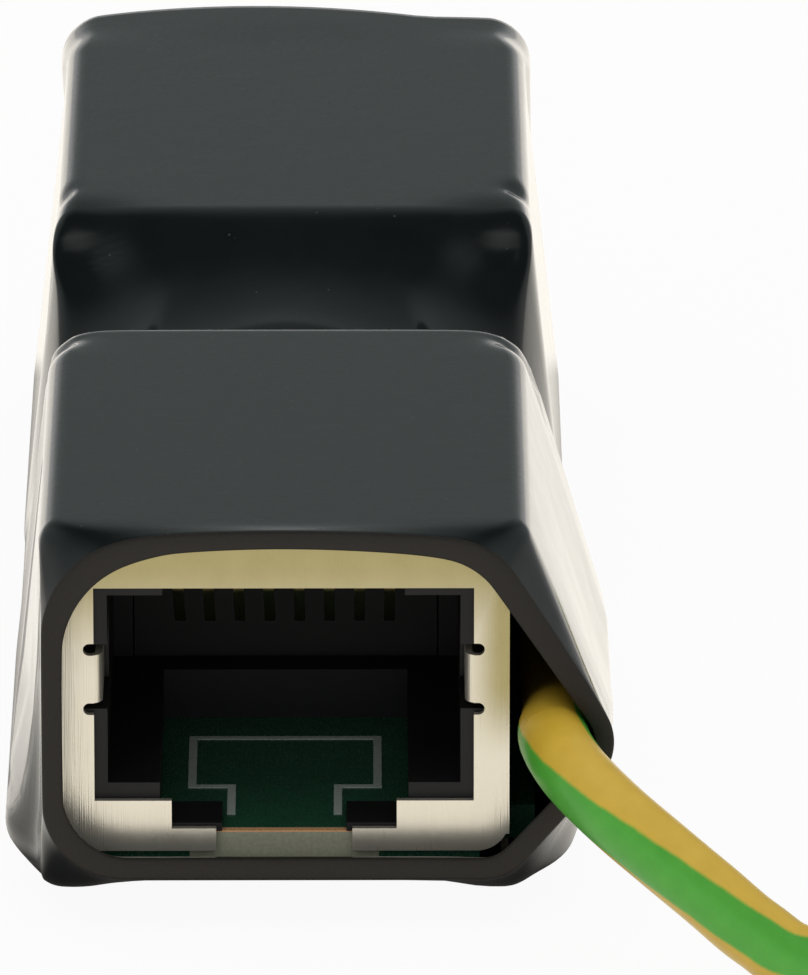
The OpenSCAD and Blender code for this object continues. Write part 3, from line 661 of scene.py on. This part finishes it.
def cover_radius(way, length):
    onto = ease((way - (COVER_OVER - COVER_SHORT)) / COVER_RISE)
    r = mixed(LEAD_D / 2 + COVER_GAP, BARREL_D / 2, onto) + COVER_WALL
    r -= WAIST_DEEP * sum(np.exp(-((way - COVER_OVER - d) / WAIST_HALF) ** 2) for d in WAISTS)
    return r - max(0, COVER_EDGE - min(way, length - way))


def terminal_cover():
    """Shrunk cover: full over the barrel, drawn in over the insulation, with a soft waist."""
    length = BARREL_L + BARREL_GAP + COVER_OVER - COVER_SHORT
    ways = np.concatenate([[0, 0, COVER_EDGE], np.linspace(COVER_EVEN, length - COVER_EVEN, 44),
                           [length - COVER_EDGE, length, length]])
    radius = [cover_radius(way, length) for way in ways]
    for end in (0, -1):
        radius[end] -= COVER_WALL - COVER_STEP
    turns = circle_turns(COVER_N)
    points = [(LEAD_END[0] + r * cos(t), LEAD_END[1] + COVER_OVER - way, LEAD_END[2] + r * sin(t))
              for way, r in zip(ways, radius) for t in turns]
    piece = mesh_piece("terminal_cover_shrunk", placed(points), bands(len(ways), len(turns)),
                       sleeve_black, 50)
    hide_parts("terminal_cover")
    return piece


sleeve_black = black_sleeve()
terminal = ring_terminal()
cover = terminal_cover()

# Shrunk sleeve
# A surface has grow as its way out from what the sleeve lies on: WALL for the outer one and 0
# for the inner one.
WALL, SLEEVE_FIT = 0.55, 0.1
FRONT_SLACK, REAR_SLACK = 0.15, 0.45
FRONT_LIP, REAR_LIP, REAR_ARCH, REAR_DRAW = 1.4, 4.0, 1.25, 2.4
EAR_BACK = 0.35
EAR_R = (EAR_BACK**2 + (BOARD_T / 2) ** 2) ** 0.5 + SLEEVE_FIT
CORNER_CUT_L = 2.5
PIN_OUT = 0.4
PEG_Y, PEG_W, PEG_OUT = 3.6, 1.2, 1.15
ARRAY_X, ARRAY_W, ARRAY_H, ARRAY_R = 5.8, 3.0, 2.3, 0.8
TUBE_L, CROWN_IN = 8.0, 0.8
PEG_FLOOR = -BOARD_T - PEG_OUT - SLEEVE_FIT
# Falls into the gap: length and steepness, at the middle, over the tubes' ends, at the corners
MIDDLE_FALL, CROWN_FALL, CORNER_FALL = (6.2, 2.6), (6.6, 2.4), (6.2, 2)
MIDDLE_TOP, CROWN_TOP = 8.25, 7.5
# How much later the outer surface falls at the front and the rear of the gap, and how much
# nearer its end it turns into the lip, all per mm of its wall
FRONT_LATER, REAR_LATER, LIP_LATER = 2.5, 0.7, 0.4
CORNER_R, CROWN_R, BUMP_HALF, BUMP_R = 0.35, 2.0, 1.1, 0.5
TAUTNESS, VALLEY_TAUTNESS, TAUT_CHANGE = 8, 3, 2
LIP_WALL, LIP_EDGE = 0.12, 0.09
# Radius and outward reach of the lip's corners: front left, front right, rear left, rear right
TOP_RIM_R, TOP_RIM_OUT = (3.6, 2.8, 1, 1.2), (-0.15, 0, 0.35, 0.8)
LOW_RIM_R, LOW_RIM_OUT = (2.3, 1.3, 2.3, 1.3), (-0.15, 0.3, -0.15, 0.3)
# How far the lip's top corners and crown stand over the rest of the sleeve's top, in the same
# order, and how far its low corners reach below the board's top
RIM_OVER, RIM_ARCH = (-0.3, -0.3, -0.05, -0.05), (0.05, -0.1, 0.05, 0.05)
RIM_UNDER = 0.34
# Where the sleeve leaves the lead behind its end, over what way, and the circle it then keeps
LEAD_AWAY, LEAD_CHANGE, LEAD_ROOM, LEFT_R = 1.2, 4.5, 0.05, 0.4
# The left side's way in from the lip: on the board, the more above it, over what height, to where
PANEL_LOW, PANEL_MORE, PANEL_RISE, PANEL_TOP = 4.2, 7.5, 1.7, 10.5
# How far the film between the pegs is drawn up, at places from the front face, and how wide
UNDER_PLACES = (-1.2, -0.6, 0, 0.35, 1.5, 2.3, 2.9, 4.2, 7)
UNDER_LIFTS = (0, 0.14, 0.28, 0.24, 0.24, 0.3, 0.42, 0.42, 0)
UNDER_HALF, UNDER_CHANGE = 5.2, 1.7
# The rear lip's arch: its middle and half-width across, and from what height it sets in
ARCH_X, ARCH_HALF, ARCH_FROM, ARCH_RISE = -1.5, 6.5, 5, 4
# Folds are rounded along the sleeve by taking rings at these steps of SOFT, with these weights
SOFT = 0.45
SOFT_STEPS = ((-1, 0.15), (-0.5, 0.2), (0, 0.3), (0.5, 0.2), (1, 0.15))
# Places where the sleeve turns, the share of a step that is left there, and how far that reaches
TURNING = (-0.7, PEG_Y - 1, SOCKET_D + 1.4, REAR_BACK - 1.4, REAR_FACE - PEG_Y + 1, REAR_FACE + 1.5)
STEP_LEFT, STEP_REACH = 0.35, 3
OUTER_STEP, INNER_STEP = 0.36, 0.8
RING_N, TO_CORNERS = 240, radians(11.4)
# Rows of the cut edge: share of the way from the inner surface to the outer, and how far back
CUT_ROWS = ((0.04, 0.5), (0.14, 0.08), (0.5, 0.0), (0.86, 0.08), (0.96, 0.5))
# Dents on both sides: where each is, its radius, and how far and which way it goes
DENTS = ((7.1, 33.2, 10.2, 1.3, 0.4, 0.35, -0.65),
         (8.3, 19.7, 11.3, 1.1, -0.4, -0.3, -0.3),
         (8.3, 36.4, 11.2, 0.6, -0.22, 0, -0.12))
LEAD_PLACES = np.array(sorted(LEAD_INSIDE + [LEAD_OUTSIDE[0]], key=lambda p: p[1]))


def rim(table, y, side):
    """A lip value for the front or rear end, and for the left or right side."""
    return table[(0 if y < GAP_MID else 2) + (side > 0)]


def drape(y, grow, form):
    """How far the sleeve has sunk into the gap: steep at a socket, flatter further in."""
    into = max(0, min(y - SOCKET_D - FRONT_LATER * grow, REAR_BACK - y - REAR_LATER * grow))
    return 1 - (1 - min(into / form[0], 1)) ** form[1]


def lip_state(y, grow, past):
    """0 where the sleeve has its lip's form, 1 from the distance past inward from a face."""
    later = LIP_LATER * grow
    return float(min(ease((y + FRONT_LIP + later) / (FRONT_LIP + past)),
                     ease((REAR_FACE + REAR_DRAW - y + later) / (REAR_DRAW + past))))


def bump(y):
    """1 at the shields' pegs, and 0 away from them."""
    return max(float(ease(1 - max(0, abs(y - at) - PEG_W / 2) / BUMP_HALF))
               for at in (PEG_Y, REAR_FACE - PEG_Y))


def lead_at(y, k):
    """The lead's x or z where it passes y."""
    return float(np.interp(y, LEAD_PLACES[:, 1], LEAD_PLACES[:, k]))


def top_circle(y, grow, side):
    """At the socket's top corner, down on the diode arrays in the gap, and at the lip."""
    room = mixed(FRONT_SLACK, REAR_SLACK, ease((y - SOCKET_D) / GAP)) if side > 0 else 0
    r, top = rim(TOP_RIM_R, y, side), SOCKET_H + SLEEVE_FIT
    over = (side * (SOCKET_W / 2 + SLEEVE_FIT + room - CORNER_R), top - CORNER_R, CORNER_R)
    low = (side * (ARRAY_X + ARRAY_W / 2 - ARRAY_R / 2), ARRAY_H - ARRAY_R / 2, ARRAY_R)
    lip_out, lip_top = rim(TOP_RIM_OUT, y, side), top + rim(RIM_OVER, y, side)
    lip = (side * (SOCKET_W / 2 + lip_out - r), lip_top - r, r)
    return mixed(lip, mixed(over, low, drape(y, grow, CORNER_FALL)), lip_state(y, grow, 0))


def crown_circle(y, grow, side):
    """Over the end of the tubes on each side, and over their middle where side is 0."""
    low, form = (CROWN_TOP, CROWN_FALL) if side else (MIDDLE_TOP, MIDDLE_FALL)
    top = float(mixed(SOCKET_H, low, drape(y, grow, form))) + SLEEVE_FIT
    lift = rim(RIM_ARCH, y, abs(side)) * (1 - lip_state(y, grow, 0))
    return side * (TUBE_L / 2 - CROWN_IN), top + lift - CROWN_R, CROWN_R


def low_rim_circle(y, side):
    """At the lip's low corner."""
    r = rim(LOW_RIM_R, y, side)
    return side * (SOCKET_W / 2 + rim(LOW_RIM_OUT, y, side) - r), r - RIM_UNDER, r


def ear_circle(y, grow, side):
    """At the board's long edge."""
    lip = low_rim_circle(y, side)
    room = REAR_SLACK if side > 0 else 0
    wide = lip_state(y, grow, BOARD_INSET + CORNER_CUT_L)
    deep = lip_state(y, grow, BOARD_INSET)
    return (float(mixed(lip[0], side * (BOARD_W / 2 - EAR_BACK + room), wide)),
            float(mixed(lip[1], -BOARD_T / 2, deep)), float(mixed(lip[2], EAR_R, deep)))


def peg_circle(y, grow, side):
    """Under the board, and further down over the shields' pegs."""
    inward = lip_state(y, grow, BOARD_INSET + CORNER_CUT_L)
    under = float(mixed(-PIN_OUT * inward - BOARD_T - SLEEVE_FIT, PEG_FLOOR, bump(y)))
    own = (side * (SOCKET_W - SHIELD_T) / 2, under + BUMP_R, BUMP_R)
    return mixed(low_rim_circle(y, side), own, lip_state(y, grow, BOARD_INSET))


def lead_circle(y):
    """Round the lead, and behind its end at the board's edge."""
    away = ease((y - LEAD_INSIDE[0][1] - LEAD_AWAY) / LEAD_CHANGE)
    return mixed((lead_at(y, 0), lead_at(y, 2), LEAD_D / 2 + SLEEVE_FIT + LEAD_ROOM),
                 (BOARD_W / 2 - EAR_BACK, 0, LEFT_R), away)


def sleeve_circles(y, grow):
    """The circles that the sleeve is drawn taut round, as x, z and radius, at one place."""
    made = [form(y, grow, side) for form in (top_circle, crown_circle, ear_circle, peg_circle)
            for side in (1, -1)]
    return np.array(made + [crown_circle(y, grow, 0), lead_circle(y)], float)


def outline_angles(n):
    """Directions of a ring's points, drawn toward its four corners."""
    t = circle_turns(n)
    return t - TO_CORNERS * np.sin(4 * t)


def taut_ring(y, grow, angles):
    """The sleeve's section at one place, drawn taut round its circles."""
    c = sleeve_circles(y, grow)
    out = np.stack([np.cos(angles), np.sin(angles)], 1)
    reach = out @ c[:, :2].T + c[:, 2]
    sunk = min(1.0, max(0.0, min(y - SOCKET_D, REAR_BACK - y)) / TAUT_CHANGE)
    share = np.exp(mixed(TAUTNESS, VALLEY_TAUTNESS, sunk) * (reach - reach.max(1, keepdims=True)))
    share /= share.sum(1, keepdims=True)
    return share @ c[:, :2] + (share @ c[:, 2] + grow)[:, None] * out


def left_panel(xz, y, grow):
    """Above the board's corner, the left side comes in slowly from the lip."""
    x, z = xz[:, 0], xz[:, 1]
    length = PANEL_LOW + PANEL_MORE * ease(z / PANEL_RISE)
    reach = np.clip((y + FRONT_LIP) / length, 0, 1)
    side = SOCKET_W / 2 + grow
    wide = np.maximum(0, -x - side)
    return np.stack([np.where(z < PANEL_TOP, x + wide * (1 - reach), x), z], 1)


def underside(xz, y):
    """Between the pegs the film is drawn up a little."""
    lift = np.interp(min(y, REAR_FACE - y), UNDER_PLACES, UNDER_LIFTS)
    inside = 1 - ease((np.abs(xz[:, 0]) - UNDER_HALF) / UNDER_CHANGE)
    return xz + np.stack([0 * xz[:, 0], lift * inside * (xz[:, 1] < 0)], 1)


def sleeve_ring(y, grow, angles):
    """A ring of the sleeve in 3-D, with its folds rounded along the sleeve."""
    soft = SOFT if grow > 0 else 0
    xz = 0
    for step, weight in SOFT_STEPS:
        at = min(max(y + step * soft, -FRONT_LIP), REAR_FACE + REAR_LIP)
        thick = grow + (LIP_WALL * (1 - lip_state(at, grow, 0)) if grow > 0 and at < 0 else 0)
        xz = xz + weight * underside(left_panel(taut_ring(at, thick, angles), at, thick), at)
    x, z = xz[:, 0], xz[:, 1]
    arch = (REAR_ARCH * ease((y - REAR_FACE) / REAR_LIP) * ease((z - ARCH_FROM) / ARCH_RISE)
            * np.maximum(0, 1 - ((x - ARCH_X) / ARCH_HALF) ** 2))
    return np.stack([x, y + arch, z], 1)


def sleeve_places(step):
    """Places of the rings, close together where the sleeve turns."""
    ys, y = [], -FRONT_LIP
    while y < REAR_FACE + REAR_LIP:
        ys.append(y)
        near = min(abs(y - at) for at in TURNING)
        y += step * (STEP_LEFT + (1 - STEP_LEFT) * min(1, near / STEP_REACH))
    return np.array(ys + [REAR_FACE + REAR_LIP])


def dented(points):
    """Points of the outer surface, moved at the dents of both sides."""
    moved = points.copy()
    for side in (-1, 1):
        for x, y, z, r, dx, dy, dz in DENTS:
            near = np.exp(-((points - np.array((side * x, y, z))) ** 2).sum(1) / r**2)
            moved += near[:, None] * np.array((side * dx, dy, dz))
    return moved


def cut_edge(inner, outer, forward):
    """The lip's cut: flat, with its two edges slightly rounded."""
    rows = []
    for share, back in CUT_ROWS:
        row = mixed(inner, outer, share)
        row[:, 1] += forward * LIP_EDGE * (1 - back)
        rows.append(row)
    return rows


def shrunk_sleeve():
    """One closed skin: the front cut, the outer surface, the rear cut and the inner surface."""
    angles = outline_angles(RING_N)
    outer = [dented(sleeve_ring(y, WALL, angles)) for y in sleeve_places(OUTER_STEP)]
    inner = [sleeve_ring(y, 0, angles) for y in sleeve_places(INNER_STEP)]
    front = cut_edge(inner[0], outer[0], -1)
    rear = cut_edge(inner[-1], outer[-1], 1)
    rings = front + outer + rear[::-1] + inner[::-1]
    piece = mesh_piece("sleeve_shrunk", placed(np.concatenate(rings)),
                       bands(len(rings), RING_N, closed=True), sleeve_black, 60)
    piece.data.materials.append(cut_polyolefin())
    rear_cut = len(front) + len(outer) - 1
    is_cut = [i < len(front) or rear_cut <= i <= rear_cut + len(rear) or i == len(rings) - 1
              for i in range(len(rings))]
    piece.data.polygons.foreach_set("material_index", np.repeat(is_cut, RING_N).astype(np.int32))
    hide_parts("shrink_sleeve")


shrunk_sleeve()

# CAD nodes with their own meshes
SHEET_EDGE, MOULDED_EDGE = 0.03, 0.06


def soften(node, width_mm):
    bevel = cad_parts[node].modifiers.new("soft_edges", "BEVEL")
    bevel.width = width_mm * MM
    bevel.segments = 2
    bevel.limit_method = "ANGLE"
    bevel.angle_limit = radians(40)


tin, black, shaded_gold, joint = tinned_sheet(), moulded_black(), shaded_gold_wire(), solder()
ceramic, resin = ceramic_tube(), moulded_resin()
dress("circuit_board", solder_mask())
dress("board_outline_print", white_print())
dress("tube_solder_joints", joint)
dress("earth_solder", joint)
for end in ("front", "rear"):
    dress(f"{end}_shield", tin)
    dress(f"{end}_housing", black)
    dress(f"{end}_contact_block", black)
    dress(f"{end}_solder_joints", joint)
    dress(f"{end}_gas_tube", ceramic)
    for side in ("left", "right"):
        dress(f"{side}_{end}_diode_array", resin)
    for i in range(1, 9):
        dress(f"{end}_contact_{i}", shaded_gold)
    soften(f"{end}_shield", SHEET_EDGE)
    soften(f"{end}_housing", MOULDED_EDGE)


# Floor, world and lamps. Reflections see the floor grow paler from FLOOR_DIM_TO to
# FLOOR_WHITE_FROM along y, in metres.
FLOOR_HALF, FLOOR_GREY = 3.0, (0.85, 0.85, 0.85)
FLOOR_GLOW, FLOOR_FRONT, FLOOR_BEHIND, FLOOR_WARM = 0.94, 1.0, 1.5, (1.0, 0.955, 0.875)
FLOOR_DIM_TO, FLOOR_WHITE_FROM, FLOOR_UNLIT = -0.05, 0.01, 0.01
# The contact shade that reflections see: its fade in mm beside the part and before it, and depth
SHADE_BESIDE, SHADE_BEFORE, SHADE_DEEP = (0.8, 3.6), (2.5, 6), 0.95
SIDE_GLOW_FROM, SIDE_GLOW_TO = 0.45, 0.8
SKY_PLAIN, SKY_SHINE, SKY_TINT = 0.36, 0.74, (0.86, 0.97, 0.95)
# How the reflected sky dims: where before turns into behind, how far up on each side, and by what
SKY_TURN, SKY_RISE_BEHIND, SKY_RISE_BEFORE = (-0.1, 0.6), (0.05, 0.24), (0.2, 0.5)
SKY_DIM, SKY_DIM_MIDDLE, SKY_DIM_BEFORE = 0.33, 0.35, 0.24


def contact_shade(paint):
    """1 close round the part, and 0 away from it."""
    across = paint.from_sockets(0).math("ABSOLUTE") - BOARD_W / 2
    along = paint.axis(1).math("ABSOLUTE") / MM - REAR_FACE / 2
    return (1 - paint.fade(across, *SHADE_BESIDE)) * (1 - paint.fade(along, *SHADE_BEFORE))


def make_floor():
    """Pale floor: white to the camera. Reflections see it warmer, paler behind the part than
    before it, and dark close round the part."""
    a = FLOOR_HALF
    mesh = bpy.data.meshes.new("floor")
    mesh.from_pydata([(-a, -a, 0), (a, -a, 0), (a, a, 0), (-a, a, 0)], [], [(0, 1, 2, 3)])
    floor = bpy.data.objects.new("floor", mesh)
    bpy.context.scene.collection.objects.link(floor)
    paint = Paint("pale_floor", Base_Color=FLOOR_GREY, Roughness=1.0, Specular_IOR_Level=0.0)
    seen = paint.ray("Is Camera Ray").math("MAXIMUM", paint.ray("Is Transmission Ray"))
    glossy = paint.ray("Is Glossy Ray")
    behind = paint.fade(paint.axis(1), FLOOR_DIM_TO, FLOOR_WHITE_FROM)
    plain = seen + glossy * (FLOOR_FRONT + (FLOOR_BEHIND - FLOOR_FRONT) * behind)
    level = plain * (1 - SHADE_DEEP * glossy * contact_shade(paint))
    tint = paint.mix(glossy, (1, 1, 1), FLOOR_WARM)
    glow = paint.node("ShaderNodeEmission", {}, Color=tint, Strength=level)
    both = paint.node("ShaderNodeMixShader", {}, FLOOR_GLOW * (level > FLOOR_UNLIT),
                      Value(paint, paint.shader.outputs[0]), glow)
    paint.tree.links.new(both.socket, paint.output.inputs[0])
    mesh.materials.append(paint.material)


def make_world():
    """Grey light, white to the camera. Reflections see a pale band near the ground, brighter at
    the sides, under a darker and slightly green sky."""
    world = bpy.data.worlds.new("studio")
    bpy.context.scene.world = world
    nodes = Nodes(world, "ShaderNodeOutputWorld")
    direction = nodes.node("ShaderNodeTexCoord", {}, out="Generated")
    across, ahead, rise = (nodes.node("ShaderNodeSeparateXYZ", {}, direction, out=k)
                           for k in range(3))
    middle = 1 - nodes.fade(across.math("ABSOLUTE"), SIDE_GLOW_FROM, SIDE_GLOW_TO)
    behind = nodes.fade(ahead, *SKY_TURN)
    before = 1 - behind
    high = (behind * nodes.fade(rise, *SKY_RISE_BEHIND)
            + before * nodes.fade(rise, *SKY_RISE_BEFORE))
    dim = (SKY_DIM + SKY_DIM_MIDDLE * middle) * high + SKY_DIM_BEFORE * before * middle * high
    glossy = nodes.ray("Is Glossy Ray")
    lit = SKY_SHINE * glossy * (1 - dim) + SKY_PLAIN * (1 - glossy)
    level = nodes.ray("Is Camera Ray").math("MAXIMUM", lit)
    tint = nodes.mix(glossy * high, (1, 1, 1), SKY_TINT)
    light = nodes.node("ShaderNodeBackground", {}, Color=tint, Strength=level)
    nodes.tree.links.new(light.socket, nodes.output.inputs[0])


def lamp(name, place, size, watts):
    """A soft lamp that looks at the part, and that no reflection shows."""
    data = bpy.data.lights.new(name, "AREA")
    data.shape = "RECTANGLE"
    data.size, data.size_y = size
    data.energy = watts
    made = bpy.data.objects.new(name, data)
    made.visible_glossy = False
    turn = (-Vector(place)).to_track_quat("-Z", "Y").to_matrix().to_4x4()
    made.matrix_world = Matrix.Translation(place) @ turn
    bpy.context.scene.collection.objects.link(made)


make_floor()
make_world()
lamp("lamp_above", (0.0, 0.05, 0.6), (1.0, 1.0), 2.6)
lamp("lamp_front", (-0.1, -0.7, 0.35), (0.9, 0.5), 1.2)
bpy.context.scene.view_settings.view_transform = "Standard"
